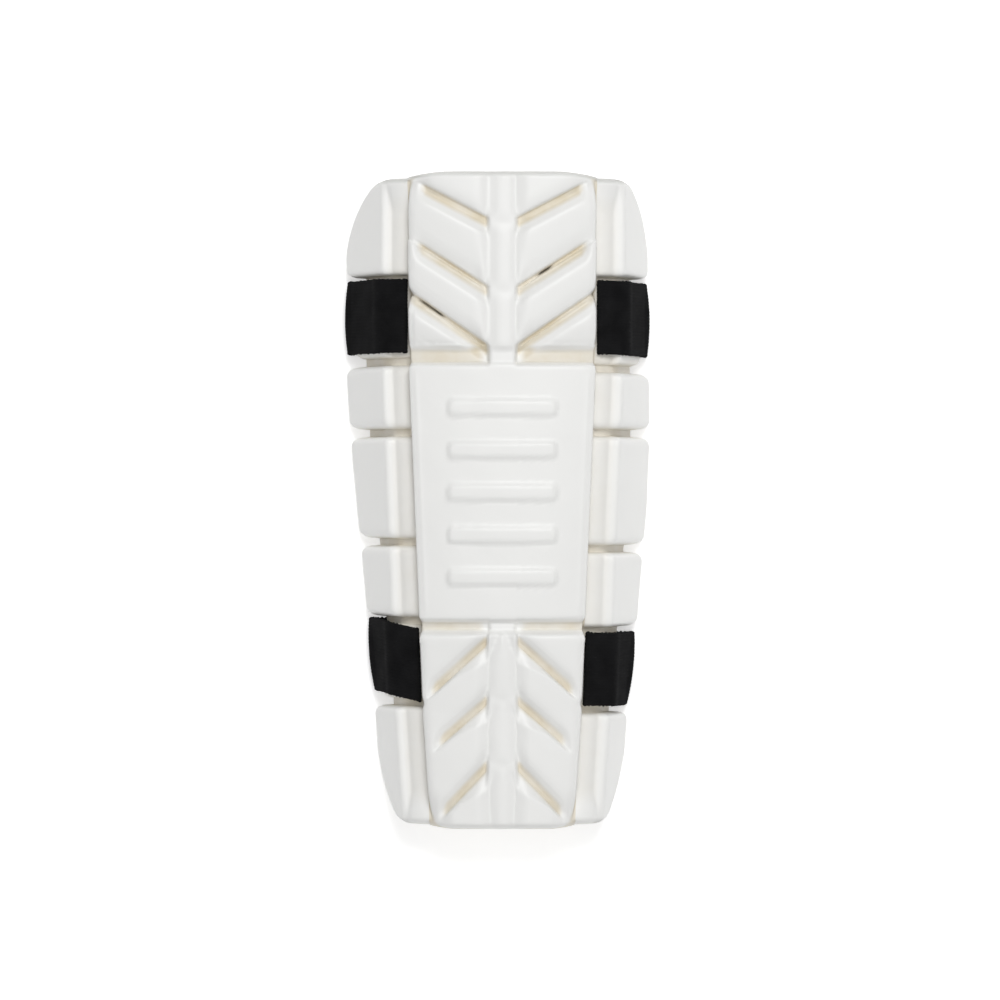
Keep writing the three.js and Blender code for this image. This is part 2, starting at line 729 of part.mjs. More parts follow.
function addPiece(group, name, geometry, finish) {
  const mesh = new THREE.Mesh(geometry, new THREE.MeshStandardMaterial(finish));
  mesh.name = name;
  group.add(mesh);
}

const guard = new THREE.Group();
addPiece(guard, 'foam_shell', toGeometry(makeShell()), foam);
addPiece(guard, 'strap_upper', toGeometry(makeStrap(upperStrap)), elastic);
addPiece(guard, 'strap_lower', toGeometry(makeStrap(lowerStrap)), elastic);
addPiece(guard, 'hook_tab_upper', makeHookTab(upperStrap), hookTape);
addPiece(guard, 'hook_tab_lower', makeHookTab(lowerStrap), hookTape);
guard.position.x = middleShift;

export default guard;
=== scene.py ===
# %% [markdown]
# # A cricket arm guard, dressed for its photograph
# A cricket arm guard is one piece of foam, moulded in a hot press so that it gets raised pads on a thin
# web, with two elastic straps that hold it on the forearm. The measured model comes in first and stays
# as it is, and every piece made here lies where that model says.

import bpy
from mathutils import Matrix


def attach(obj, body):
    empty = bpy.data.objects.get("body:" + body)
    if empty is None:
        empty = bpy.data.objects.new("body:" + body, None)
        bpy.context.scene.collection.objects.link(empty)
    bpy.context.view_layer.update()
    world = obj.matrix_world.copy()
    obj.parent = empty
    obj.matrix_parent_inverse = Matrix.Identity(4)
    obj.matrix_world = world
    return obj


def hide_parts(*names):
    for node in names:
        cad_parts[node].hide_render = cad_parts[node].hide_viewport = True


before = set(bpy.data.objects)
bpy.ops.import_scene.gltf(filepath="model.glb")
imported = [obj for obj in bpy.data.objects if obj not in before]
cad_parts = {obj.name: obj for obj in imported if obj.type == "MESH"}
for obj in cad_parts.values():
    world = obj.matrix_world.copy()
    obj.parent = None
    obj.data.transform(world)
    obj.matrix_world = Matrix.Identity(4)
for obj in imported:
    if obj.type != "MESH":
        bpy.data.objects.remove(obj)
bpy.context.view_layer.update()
print("measured pieces:", sorted(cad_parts))

# %% Tools
import math

import bpy
import numpy as np

MM = 0.001
DEGREE = math.pi / 180

# %% [markdown]
# ## The inner face
# Everything on the guard is measured from its inner face, the side against the arm: u is how far across
# it a point lies, y how far along, and h how high above it. The face is a shallow roof, a tight hinge
# and a straight wing on each side, and it gets lower and narrower towards the wrist. One function turns
# u, y and h into a place, so a pad can be designed flat and still follow the arch.

# %% The sizes of the inner face, in millimetres
half_length = 132.5
middle_shift = 1.7
roof_half = 37.4
roof_tilt = 12 * DEGREE
hinge_arc = 8
crown_height = 31
wing_tilt = 64 * DEGREE
rim_land = 1.2
web = 3.2

# From the wrist to the elbow: share of half the length, then shares of roof_half, crown_height and,
# for the left and the right wing, wing_tilt
stations = np.array([
    [-1, 0.76, 0.7, 1, 1.07],
    [-0.64, 0.845, 0.76, 1.023, 1.06],
    [-0.38, 0.88, 0.865, 1.02, 1.013],
    [0, 0.933, 0.968, 0.974, 0.986],
    [0.2, 0.963, 1, 0.943, 0.998],
    [0.45, 1, 1, 0.93, 1.062],
    [1, 1, 1, 0.94, 1.08],
])


def section(y, side):
    """The arch at y: each size is read off the station table, straight between its rows. The wing's
    length is what is left of the fall from the crown to just below the floor."""
    share = np.asarray(y, float) / half_length
    column = lambda k: np.interp(share, stations[:, 0], stations[:, k])
    roof = roof_half * column(1)
    crown = crown_height * column(2)
    tilt = wing_tilt * np.where(np.asarray(side) < 0, column(3), column(4))
    roof_radius = roof / roof_tilt
    hinge_radius = hinge_arc / (tilt - roof_tilt)
    fall = roof_radius * (1 - math.cos(roof_tilt)) + hinge_radius * (math.cos(roof_tilt) - np.cos(tilt))
    rim = roof + hinge_arc + (crown + rim_land - fall) / np.sin(tilt)
    return roof, crown, tilt, roof_radius, hinge_radius, rim


def lean_at(t, roof, tilt, roof_radius, hinge_radius):
    """How steep the inner face is at t from the centre line: it grows evenly over the roof, then evenly
    and faster over the hinge, and stays at the wing's tilt."""
    return np.where(t <= roof, t / roof_radius, np.minimum(tilt, roof_tilt + (t - roof) / hinge_radius))


def place(u, y, h):
    """A point at u across, y along and h above the inner face: the arcs' own sums of sines and cosines
    give its foot on the face, and the face's normal there carries it up by h."""
    u, y, h = np.broadcast_arrays(np.asarray(u, float), y, h)
    side = np.where(u < 0, -1.0, 1.0)
    roof, crown, tilt, roof_radius, hinge_radius, _ = section(y, side)
    t = np.abs(u)
    lean = lean_at(t, roof, tilt, roof_radius, hinge_radius)
    roof_lean = np.minimum(lean, roof_tilt)
    hinge_lean = np.maximum(lean, roof_tilt)
    run = np.maximum(0, t - roof - hinge_arc)
    x = roof_radius * np.sin(roof_lean) + run * np.cos(tilt)
    x = x + hinge_radius * (np.sin(hinge_lean) - math.sin(roof_tilt))
    fall = roof_radius * (1 - np.cos(roof_lean)) + run * np.sin(tilt)
    fall = fall + hinge_radius * (math.cos(roof_tilt) - np.cos(hinge_lean))
    return np.stack([side * (x + h * np.sin(lean)), y, crown - fall + h * np.cos(lean)], -1)


print("rim to rim over the inner face:", 2 * float(section(60, 1)[-1]), "mm at the elbow strap")

# %% [markdown]
# ## The outline
# The wings sweep in over long corners to a shallow arc at each end of the block. Between their pads the
# foam is cut away for the outer 7 mm, so the wing can bend along the arm, and under each strap the rim
# is set back by the strap's own thickness.

# %% The outline in plan
elbow_end = {"sweep": 33, "power": 1.6, "land": 4, "arc": 2.4, "arc_half": 22}
wrist_end = {"sweep": 30.5, "power": 1.5, "land": 5, "arc": 1.5, "arc_half": 20}
gap_width = 3
notch_depth = 7
pad_corner = 4.4
corner_reach = 6.4
strap_thickness = 1.8
strap_clearance = 0.6
strap_drop = strap_thickness + strap_clearance
strap_recess = (rim_land + strap_drop) / math.sin(wing_tilt)
gap_wall = 0.3
# Larger than any distance on the guard, and further out than any rim
far = 99.0
widest = 75
# Samples of the outline: across, along, and round the corner of a wing
fine_across, fine_along, fine_corner = 1500, 2651, 400
gaps = {
    1: np.array([0.671, 0.403, 0.208, -0.146, -0.397, -0.637]) * half_length,
    -1: np.array([0.675, 0.424, 0.208, -0.125, -0.365, -0.616]) * half_length,
}


def swept_rim(y, side):
    """The rim without its gaps: full width, and over the last stretch of each end a superellipse from
    the full width down to the corner of the block."""
    roof, *_, rim = section(y, side)
    result = rim
    for end, sign in ((elbow_end, 1), (wrist_end, -1)):
        inside = half_length - sign * y
        along = np.clip((end["sweep"] - inside) / (end["sweep"] - end["arc"]), 0, 1)
        corner = roof + end["land"]
        swept = corner + (rim - corner) * (1 - along ** end["power"]) ** (1 / end["power"])
        result = np.where(inside < end["sweep"], swept, result)
    return result


def pad_end(y, side):
    """How far y lies inside the ends of its wing pad: the distance to the nearest gap's edge, less than
    nothing within a gap. Also whether that pad carries a strap."""
    cuts = gaps[side]
    distance = np.abs(np.asarray(y)[..., None] - cuts).min(-1) - gap_width / 2
    strapped = ((y < cuts[0]) & (y > cuts[1])) | ((y < cuts[4]) & (y > cuts[5]))
    return distance, strapped


def rim_at(y, side):
    """The rim with its gaps: the swept rim, set back at the gaps and under the straps, with a quarter
    ellipse at each corner of a pad."""
    inside, strapped = pad_end(y, side)
    bite = np.clip(pad_corner - inside, 0, pad_corner)
    corner = corner_reach * (1 - np.sqrt(1 - (bite / pad_corner) ** 2))
    set_back = corner + np.where(strapped, strap_recess, 0)
    gap_share = np.clip(0.5 - inside / gap_wall, 0, 1)
    return swept_rim(y, side) - set_back * (1 - gap_share) - notch_depth * gap_share


def end_line(t, side, end, sign):
    """The y of the outline at t from the centre line: level over the middle, then the end's arc, and
    then the wing's corner, read backwards off the swept rim."""
    roof = section(sign * (half_length - end["arc"]), side)[0]
    arc_share = np.clip((roof - t) / (roof - end["arc_half"]), 0, 1)
    inside = np.linspace(end["arc"], end["sweep"], fine_corner)
    swept = np.maximum.accumulate(swept_rim(sign * (half_length - inside), side))
    corner = np.interp(t, swept, inside)
    arc = end["arc"] * (1 - np.sqrt(arc_share))
    return sign * (half_length - np.where(t <= roof, arc, corner))


def outline_distance(t, y, side):
    """How far a point lies inside the outline: the gap along y and the gap along t, each times the
    cosine of the outline's slope there, and the smaller of the two. The gap along y counts only near an
    end, where the wing sweeps in."""
    fine_t = np.linspace(0, widest, fine_across)
    nearest = np.full(np.shape(t), far)
    for end, sign in ((elbow_end, 1), (wrist_end, -1)):
        line = end_line(fine_t, side, end, sign)
        slope = np.gradient(line, fine_t)
        gap = sign * (np.interp(t, fine_t, line) - y)
        gap = gap / np.sqrt(1 + np.interp(t, fine_t, slope) ** 2)
        nearest = np.where(half_length - sign * y < end["sweep"], np.minimum(nearest, gap), nearest)
    fine_y = np.linspace(-half_length, half_length, fine_along)
    swept = swept_rim(fine_y, side)
    slope = np.interp(y, fine_y, np.gradient(swept, fine_y))
    across = (rim_at(y, side) - t) / np.sqrt(1 + slope**2)
    return np.minimum(nearest, across)


print("right rim at the middle:", round(float(rim_at(np.array(0.0), 1)), 1), "mm from the centre")

# %% [markdown]
# ## The relief
# The height of the foam is one function of u and y. It starts from three centre blocks and the wings,
# each with a soft moulded shoulder, and then the grooves are carved out of them. A displacement texture
# could do it too, but a function keeps every pad at its size in millimetres. Press-moulded foam has no
# sharp edge, so every step is read off a small table of a profile.

# %% Profiles and blocks
panel_thickness = 15
block_margin = 1.4
block_corner = 3.4
# For each block its upper and lower end along y, and how steep each of the two is
block_ends = [
    (half_length + 9, 61.3, 1, 1),
    (55.0, -48.2, 1.7, 1.7),
    (-52.9, -half_length - 9, 1.2, 1),
]
bar_crown = 1.1
level_floor = 7.6
# Profiles: a distance inside the step, and the share of the full height there
shoulder = [
    [-2, 0], [-1.5, 0.05], [-0.9, 0.2], [-0.2, 0.45], [0.3, 0.65], [0.8, 0.81], [1.3, 0.9],
    [2, 0.96], [3, 0.99], [4, 1],
]
outer_edge = [[0, 0.52], [0.3, 0.68], [0.8, 0.83], [1.5, 0.94], [2.6, 1]]
pad_face = [[-0.15, 0], [0.15, 0.52], [0.4, 0.69], [0.9, 0.86], [1.6, 0.955], [2.8, 1]]


def profile(distance, table):
    """What a table gives at a distance, straight between its rows."""
    return np.interp(distance, *np.transpose(table))


def rounded_inside(across, along, radius):
    """How far a point lies inside a rectangle with rounded corners, from its distances to two sides."""
    p = np.maximum(radius - across, 0)
    q = np.maximum(radius - along, 0)
    return np.where(p + q > 0, radius - np.hypot(p, q), np.minimum(across, along))


def smooth(share):
    """A share from 0 to 1 with a level start and end."""
    share = np.clip(share, 0, 1)
    return share * share * (3 - 2 * share)


print("blocks, from their upper to their lower end:", [ends[:2] for ends in block_ends])

# %% [markdown]
# ## The chevron grooves
# On both end blocks slanting grooves run out from a raised spine. A groove's two sides differ: the one
# towards the elbow is steep, and the other rises as a broad bevel that catches the light. So a cut is a
# profile of the distance from the groove's middle line, and that distance has a sign.

# %% Grooves of the two chevron blocks
# Where each starts at the spine, as a share of half the length, its slope, and how far inside the
# block's edge it stops
upper_grooves = [(0.842, 0.566, 3.6), (0.634, 0.684, 2.4), (0.457, 0.735, -4)]
lower_grooves = [(-0.423, -0.99, 1.6), (-0.605, -0.96, 3.4), (-0.804, -1.16, 2.6)]
spine_half = 5
upper_cut = [
    [-6.4, 0], [-5.5, 0.02], [-4.9, 0.07], [-4.3, 0.18], [-1.7, 0.82], [-1.2, 0.93], [-0.7, 1],
    [0.9, 1], [1.3, 0.86], [1.8, 0.45], [2.2, 0.28], [3.2, 0.15], [4.8, 0.05], [6.8, 0],
]
lower_cut = [
    [-3.2, 0], [-2.4, 0.04], [-1.8, 0.14], [-1.2, 0.6], [-0.8, 0.94], [0.6, 1], [1.5, 0.84],
    [2.6, 0.5], [4, 0.2], [5.6, 0.05], [7.5, 0],
]
cut_depth = 3.4
# The height of a spine over the distance from its middle, or from the wrist spine's edge
right_spine = [
    [0, 15.8], [2.4, 15.7], [3.6, 15.3], [4.4, 14.9], [5, 14.65], [5.6, 14.9], [6.3, 15.3],
    [8.2, 16.1], [9.5, 16.5],
]
left_spine = [
    [0, 15.8], [2, 15.6], [3.4, 15], [4.6, 14.6], [5.6, 14.7], [6.4, 15.2], [7.6, 16],
    [9.5, 16.5],
]
lower_spine = [
    [-5, 15.8], [-3, 15.7], [-1.4, 15.2], [-0.5, 14.8], [0, 14.5], [0.4, 14.9], [1.4, 15.4],
    [3, 16.1], [4.6, 16.5],
]
# Half the width of the wrist block's spine along y: it narrows where the grooves cross it
arrow_y = np.array([-52, -55, -58, -62, -67, -74, -77.5, -79.5, -81, -84, -88, -93, -100, -103.8,
                    -105.8, -107, -110, -114, -119, -126, -133])
arrow_half = np.array([1.2, 2.2, 3.3, 4.5, 5.2, 5, 4.9, 4, 3.1, 3.7, 4.8, 5.3, 5, 4.9,
                       4, 3.1, 3.5, 4.4, 4.8, 4.4, 4.2])


def groove_distance(t, y, at, slope):
    """The distance from a groove's middle line, positive towards the elbow: the gap along y times the
    cosine of the line's slope."""
    return (y - at * half_length - slope * (t - spine_half)) / math.sqrt(1 + slope**2)


# The sloping facet beside the spine: its depth, where it meets the cut, and how far out it goes
facet_share = 0.8
facet_edge = -0.9
facet_length = 14


def carve(t, y, edge, grooves, table, fade, facet):
    """The deepest cut at a point, as a share of the full depth. A cut starts at the spine's side and
    fades out before the block's outer edge. Beside the spine it can open into a sloping facet on its
    wrist side, `facet` wide at the spine and narrowing evenly to nothing."""
    cut = np.zeros(np.shape(t))
    wide = facet * np.clip((spine_half + facet_length - t) / facet_length, 0, 1) + 0.01
    for at, slope, stop in grooves:
        distance = groove_distance(t, y, at, slope)
        slant = np.clip(1 + (distance - facet_edge) / wide, 0, 1) * (distance < facet_edge)
        share = np.maximum(profile(distance, table), facet_share * slant)
        ends = smooth((edge - stop - t) / fade) * smooth((t - spine_half + 0.5) / 1.9)
        cut = np.maximum(cut, share * ends)
    return cut


# Two slits at the foot of a groove's steep side, carved and filled with painted dark shade: the
# groove's start and slope, the side, and from where to where across
dark_slits = [(*upper_grooves[1][:2], 1, 12.8, 19.4), (*upper_grooves[2][:2], -1, 21.5, 32)]
slit_depth = 2.2
slit_at = 0.75
slit_reach = 0.34
slit_fade = 2


def slit_share(t, y, side):
    """How deep in a dark slit a point lies: a narrow bell curve along the groove's steep side."""
    share = np.zeros(np.shape(t))
    for at, slope, on_side, start, stop in dark_slits:
        across = (groove_distance(t, y, at, slope) - slit_at) / slit_reach
        ends = smooth((t - start) / slit_fade) * smooth((stop - t) / slit_fade) * (side == on_side)
        share = np.maximum(share, np.exp(-(across**2)) * ends)
    return share


bar_ridge = 4
bar_run = 12


def bar_fall(t, y, grooves):
    """How far the top of a bar falls away: nothing at the ridge beside the groove on its elbow side,
    and then growing a little faster than the distance from there."""
    below = np.full(np.shape(t), far)
    for at, slope, _ in grooves:
        distance = -groove_distance(t, y, at, slope)
        below = np.where(distance > 0, np.minimum(below, distance), below)
    fall = bar_crown * np.clip((below - bar_ridge) / bar_run, 0, 1.3) ** 1.6
    return np.where(below < far, fall, 0)


print("grooves:", 2 * len(upper_grooves + lower_grooves), "with", len(dark_slits), "dark slits")

# %% [markdown]
# ## The panel
# The middle block is flat but for five plain ribs and a thin raised line inside each of its sides. The
# nearest rib is found by rounding, so one formula draws all five.

# %% The panel's plain ribs and its thin side lines
rib_pitch = 17
rib_width = 6.5
rib_half = 20
rib_height = 1.3
rib_edge = [[-0.35, 0], [0.1, 0.55], [0.5, 0.9], [1.1, 1]]
panel_middle = 3.4
line_height = 0.35
line_inset = 3.4
line_reach = 0.45
line_stops = (52, -46)


def panel_relief(t, y, edge):
    """Five raised ribs with rounded ends, and a thin raised line just inside each side edge."""
    nearest = panel_middle + rib_pitch * np.clip(np.round((y - panel_middle) / rib_pitch), -2, 2)
    inside = rounded_inside(rib_half - t, rib_width / 2 - np.abs(y - nearest), 2)
    rib = rib_height * profile(inside, rib_edge)
    line = line_height * np.exp(-(((edge - t - line_inset) / line_reach) ** 2))
    return rib + line * smooth((line_stops[0] - y) / 3) * smooth((y - line_stops[1]) / 3)


# %% [markdown]
# ## The wings
# A wing pad has two facets. The outer one looks sideways and is nearly flat, and the inner one falls
# steeply to the groove beside the block, where the guard bends round the arm. They meet in a soft
# ridge, which is the smaller of two heights, rounded over where they cross.

# %% The height of a wing pad
wing_thickness = 9.9
rim_thickness = 9
wing_foot = 2.6
strap_foot = 4
ridge_slope = 3.5
ridge_round = 2.2
steepest = 1.2


def softer_least(a, b, reach):
    """The smaller of two heights, rounded over where they cross."""
    near = np.maximum(reach - np.abs(a - b), 0) / reach
    return np.minimum(a, b) - near**2 * reach / 4


def wing_height(t, y, side, drop, foot):
    """A flat outer facet that thins to the rim, and an inner facet that falls from the ridge to the
    groove beside the block. The facet's plane is carried on over the hinge, where the inner face bends
    away from it."""
    roof, _, tilt, roof_radius, hinge_radius, rim = section(y, side)
    rest = tilt - lean_at(t, roof, tilt, roof_radius, hinge_radius)
    along = np.clip((t - roof) / (rim - roof), 0, 1)
    thick = wing_thickness + (rim_thickness - wing_thickness) * along - drop
    facet = (thick + hinge_radius) / np.cos(np.minimum(rest, steepest)) - hinge_radius
    rise = web + (t - roof - foot) * ridge_slope
    return np.maximum(softer_least(facet, rise, ridge_round), web)


print("wing pads:", sum(len(cuts) + 1 for cuts in gaps.values()))

# %% [markdown]
# ## The skin
# Pressed foam is never quite even. A few creases and skin lines run where the sheet folded in the
# press, and the whole face is a little wavy. Both are real shape here, because a low light shows them.

# %% Creases and skin lines that the press left
# From a point to a point (u, y), then how deep and how wide, all in millimetres
creases = np.array([
    [-29.5, 79.6, -33.4, 76.6, 0.45, 0.5],
    [-33.4, 76.6, -33.8, 61.5, 0.45, 0.5],
    [-31, 66, -26, 62.5, 0.18, 0.7],
    [-22, 70, -14, 63.5, 0.2, 0.9],
    [-13, 73, -10.5, 64, 0.16, 0.8],
    [-10, 91, -8.5, 84, 0.16, 0.8],
    [12, 96, 14, 88, 0.14, 0.9],
    [10.5, 71, 12.5, 64, 0.14, 0.9],
    [-20, -97, -13, -88, 0.12, 1.2],
    [18, -99, 12, -90, 0.12, 1.2],
])


def crease_depth(u, y):
    """A crease is a straight valley: a bell curve of the distance to its line, fading at both ends."""
    depth = np.zeros(np.shape(u))
    for u0, y0, u1, y1, deep, wide in creases:
        length = math.hypot(u1 - u0, y1 - y0)
        along = ((u - u0) * (u1 - u0) + (y - y0) * (y1 - y0)) / length
        across = ((u - u0) * (y1 - y0) - (y - y0) * (u1 - u0)) / length
        ends = smooth(along / 2 + 0.5) * smooth((length - along) / 2 + 0.5)
        depth += deep * np.exp(-((across / wide) ** 2)) * ends
    return depth


def waviness(u, y):
    """The soft unevenness of pressed foam: a few slow sine waves, under a tenth of a millimetre."""
    wave = np.sin(u / 7.1 + 1.3 * np.sin(y / 11.3)) + np.sin(y / 8.3 + 1.1 * np.sin(u / 9.7) + 2)
    return 0.05 * wave + 0.03 * np.sin(u / 3.1 + y / 4.3)


# %% [markdown]
# ## The whole height
# The blocks and the wing pads are worked out apart, and the foam is the higher of the two. Each point
# also gets three shares of painted shade for its colour: how deep in a groove or a slit it lies, and how
# near the outline.

# %% The three blocks
# Where a groove crosses the spine: the spine's height there, its dip, and how far the crossing reaches
crossing_top = 15.6
crossing_dip = 0.25
crossing_reach = 3.2
# The lowest pads of the elbow block tilt down: from which y, over what run, and by how much
pad_tilt_from, pad_tilt_run, pad_tilt_drop = 72, 13, 2
corner_sink = 5.2
# The spine's height above the web where it runs on across the elbow and the wrist level groove
elbow_bridge, wrist_bridge = 10.8, 9


def block_height(t, y, side, edge, near_end):
    """The blocks before they are carved: each one's top over the floor of the level grooves, rounded
    off towards its own outline."""
    crossing = sum(np.exp(-(((y - at * half_length) / crossing_reach) ** 2))
                   for at, *_ in upper_grooves[:2] + lower_grooves[1:])
    bars = bar_fall(t, y, upper_grooves) + pad_tilt_drop * smooth((pad_tilt_from - y) / pad_tilt_run)
    bars = bars * smooth((t - 6) / 4)
    spine = profile(t, right_spine if side > 0 else left_spine) - bars
    arrow = profile(t - np.interp(-y, -arrow_y, arrow_half), lower_spine)
    middle = crossing_top - crossing_dip * crossing
    near = smooth((7 - t) / 3.5) * crossing
    spine = spine + (middle - spine) * near
    arrow = arrow + (middle - arrow) * near
    tops = [spine, panel_thickness + panel_relief(t, y, edge), arrow]
    # The corners of the blocks sink towards the wings at both ends of the guard
    sink = corner_sink * near_end * smooth((t - edge + 10) / 10)
    # Two level grooves lie between the blocks, and the spine runs on across them
    floor = web + level_floor * smooth((edge - t) / 1.2) * (np.abs(y - 3) < 60)
    bridge = np.where(y > 0, elbow_bridge, wrist_bridge) * smooth((9 - t) / 5)
    floor = np.maximum(floor, web + bridge)
    block = floor
    for (high, low, high_steep, low_steep), top in zip(block_ends, tops):
        along = np.minimum(high_steep * (high - y), low_steep * (y - low))
        inside = rounded_inside(edge - t, along, block_corner)
        block = np.maximum(block, floor + (top - sink - floor) * profile(inside, shoulder))
    return block


# %% The wing pads
# The floor of the groove beside the blocks, above the web: under a strap, elsewhere, and how much
# more at both ends of the guard
strap_groove, wing_groove, end_groove = 2.2, 4.4, 2.8


def pad_height(t, y, side, near_end):
    """The wing pads: a pad's own height or the floor of the groove beside the blocks, the larger of the
    two with a soft change, and both rounded off towards the gaps between the pads."""
    roof, *_ = section(y, side)
    inside, strapped = pad_end(y, side)
    drop = np.where(strapped, strap_drop, 0)
    foot = np.where(strapped, strap_foot, wing_foot)
    wing = wing_height(t, y, side, drop, foot)
    shallow = web + np.where(strapped, strap_groove, wing_groove) + end_groove * near_end
    shallow = web + (shallow - web) * smooth((roof + 8 - t) / 5)
    wing = -softer_least(-wing, -shallow, 2)
    return web + (wing - web) * profile(inside, pad_face)


# %% Both together, and the shares of painted shade for the colours
# Two nicks in the sides of the blocks: where along y, how wide, and their share of the full depth
side_nicks = [(83.3, 1.7, 1), (-81.5, 1.9, 0.6)]
nick_depth = 0.9
# How much painted cream shade the foam gets at a height: in the grooves beside the blocks, and in those
# between them
painted_shade_beside = [[web, 0.7], [7.6, 0.15], [9, 0]]
painted_shade_between = [[10.5, 0.85], [12.2, 0]]


def relief(u, y, side):
    """Height above the inner face, and three shares of painted shade: 1 on the floor of a groove, 1 in a
    dark slit, and 1 on the edge band of the outline."""
    t = np.abs(u)
    roof, *_ = section(y, side)
    nick = sum(share * np.exp(-(((y - at) / wide) ** 2)) for at, wide, share in side_nicks)
    edge = roof - block_margin - nick_depth * nick
    near_end = smooth((np.abs(y) - half_length + 17) / 15)
    cut = carve(t, y, edge, upper_grooves, upper_cut, 4, 0)
    cut = np.maximum(cut, carve(t, y, edge, lower_grooves, lower_cut, 5, 5.5))
    slit = slit_share(t, y, side)
    block = block_height(t, y, side, edge, near_end)
    block = np.maximum(block - cut * cut_depth - slit * slit_depth, web)
    inside = outline_distance(t, y, side)
    rounded = np.maximum(block, pad_height(t, y, side, near_end)) * profile(inside, outer_edge)
    skin = waviness(u, y) * smooth((rounded - 5) / 3) - crease_depth(u, y)
    # Painted grey shade in a band along the outline, widest at the elbow end
    painted_edge_shade = smooth(1.25 - inside / 2.2) * (0.25 + 0.75 * smooth((y - 105) / 20))
    # Painted cream shade in the grooves, from the foam's height and the depth of the cut
    beside = profile(rounded, painted_shade_beside) * smooth((t - edge + 0.5) / 0.8)
    amid = profile(rounded, painted_shade_between) * (t < edge + 0.5) * smooth((t - 6) / 4)
    painted_groove_shade = np.clip(np.maximum(np.maximum(beside, amid), (cut - 0.55) / 0.4), 0, 1)
    return rounded + skin, np.stack([painted_groove_shade, slit, painted_edge_shade], -1)


print("elbow block beside its spine:", float(relief(np.array(12.0), np.array(100.0), 1)[0]), "mm")

# %% [markdown]
# ## The shell's mesh
# The shell is one closed surface, lofted from ring after ring along the guard. Each ring runs over the
# outer face from rim to rim and back under the inner face. To keep the grooves crisp without a huge
# mesh, the rings follow the chevrons over the blocks, and they crowd where the relief is steep.


# %% Rings and columns
def spread(start, stop, count, marks, reach, weight):
    """Values from start to stop that crowd round the marks: a running sum of one plus bell curves at
    the marks, read backwards at equal steps."""
    fine = np.linspace(start, stop, 4001)
    bells = np.exp(-(((fine[:, None] - np.array(marks)[None]) / reach) ** 2)).sum(1)
    density = 1 + weight * bells
    total = np.concatenate([[0], np.cumsum(density[1:] + density[:-1])])
    return np.interp(np.linspace(0, total[-1], count), total, fine)


elbow_start = half_length - elbow_end["arc"]
wrist_stop = -half_length + wrist_end["arc"]
# Rings where a band of rings starts or stops: their y at the spine and at the block's edge. Then how
# many rings each band has
ring_stops = [(half_length, elbow_start), (111.6, 129.1), (84.0, 105.1), (60.55, 83.3), (57.2, 57.2),
              (-50.6, -50.6), (-56.05, -81.2), (-80.2, -103.7), (-106.5, -129.5),
              (-half_length, wrist_stop)]
ring_counts = [34, 50, 46, 42, 116, 42, 44, 42, 34]
groove_marks = [ring_stops[k][0] for k in (1, 2, 3, 6, 7, 8)]
level_marks = [60.6, 56, -49, -52.4]


def ring_rows(side):
    """The y of every ring at the spine and at the wing of one side, and how far each ring's own shape
    has changed from the end's arc to a straight line."""
    spine_rows, wing_rows, straight = [], [], []
    spine_marks = groove_marks + level_marks + [half_length, -half_length]
    gap_edges = np.concatenate([gaps[side] - gap_width / 2, gaps[side] + gap_width / 2])
    wing_marks = [*gap_edges, *level_marks, elbow_start, wrist_stop]
    for k, count in enumerate(ring_counts):
        (spine_from, wing_from), (spine_to, wing_to) = ring_stops[k:k + 2]
        last = k == len(ring_counts) - 1
        take = slice(0, count if last else count - 1)
        spine_rows.append(spread(spine_from, spine_to, count, spine_marks, 2.6, 2.2)[take])
        wing_rows.append(spread(wing_from, wing_to, count, wing_marks, 0.6, 6)[take])
        share = np.linspace(0, 1, count)
        ramp = share if k == 0 else 1 - share if last else np.ones(count)
        straight.append(ramp[take])
    return np.concatenate(spine_rows), np.concatenate(wing_rows), np.concatenate(straight)


spine_columns = np.array([0.6, 1.4, 2.4, 3.4, 4.1, 4.6, 5, 5.35, 5.7, 6.1, 6.6, 7.2, 8, 9])
edge_columns = -np.array([4, 3.2, 2.6, 2.1, 1.6, 1.2, 0.85, 0.55, 0.3, 0.1, -0.1, -0.3, -0.5, -0.75])
groove_columns = np.array([-0.3, 0.2, 0.7, 1.2, 1.7, 2.1, 2.5, 2.9, 3.3, 3.8, 4.3, 4.8, 5.3, 5.8,
                           6.3, 6.9])
rim_columns = np.array([3.2, 2.5, 1.9, 1.4, 1, 0.7, 0.45, 0.25, 0.1, 0])
middle_count = 20
facet_count = 7


def columns_at(roof, rim):
    """The distances from the centre line of one side's columns, for each ring. Where the rim is near,
    the columns crowd up before it and stay in order."""
    roof, rim = roof[:, None], rim[:, None]
    edge = roof - block_margin
    steps = np.linspace(0, 1, middle_count + 2)[None, 1:-1]
    middle = spine_columns[-1] + (edge - 4 - spine_columns[-1]) * steps
    facet_from = roof + groove_columns[-1]
    steps = np.linspace(0, 1, facet_count + 2)[None, 1:-1]
    facet = facet_from + (rim - rim_columns[0] - facet_from) * steps
    near = np.repeat(spine_columns[None], len(roof), 0)
    free = np.concatenate([near, middle, edge + edge_columns, roof + groove_columns, facet], 1)
    tail = rim_columns[0] + 0.04 * np.arange(free.shape[1], 0, -1)
    return np.concatenate([np.minimum(free, rim - tail), rim - rim_columns], 1)


def bent_y(t, spine_y, wing_y, straight, roof, side):
    """The y of a ring at t: level over the spine, then straight to its wing's y at the block's edge.
    The first and the last rings follow the arc of the end instead."""
    roof, edge = roof[:, None], roof[:, None] - block_margin
    line = np.clip((t - spine_half) / (edge - spine_half), 0, 1)
    end = np.where(wing_y[:, None] > 0, elbow_end["arc_half"], wrist_end["arc_half"])
    arc = 1 - np.sqrt(np.clip((roof - t) / (roof - end), 0, 1))
    share = arc + (line - arc) * smooth(straight)[:, None]
    return spine_y[:, None] + (wing_y - spine_y)[:, None] * share


# %% Loft the shell
# The turn round the rim: how far in from it each point lies, and at what share of the rim's height
rim_turn = [(0, 0.6), (0.05, 0.25), (0.35, 0.05)]
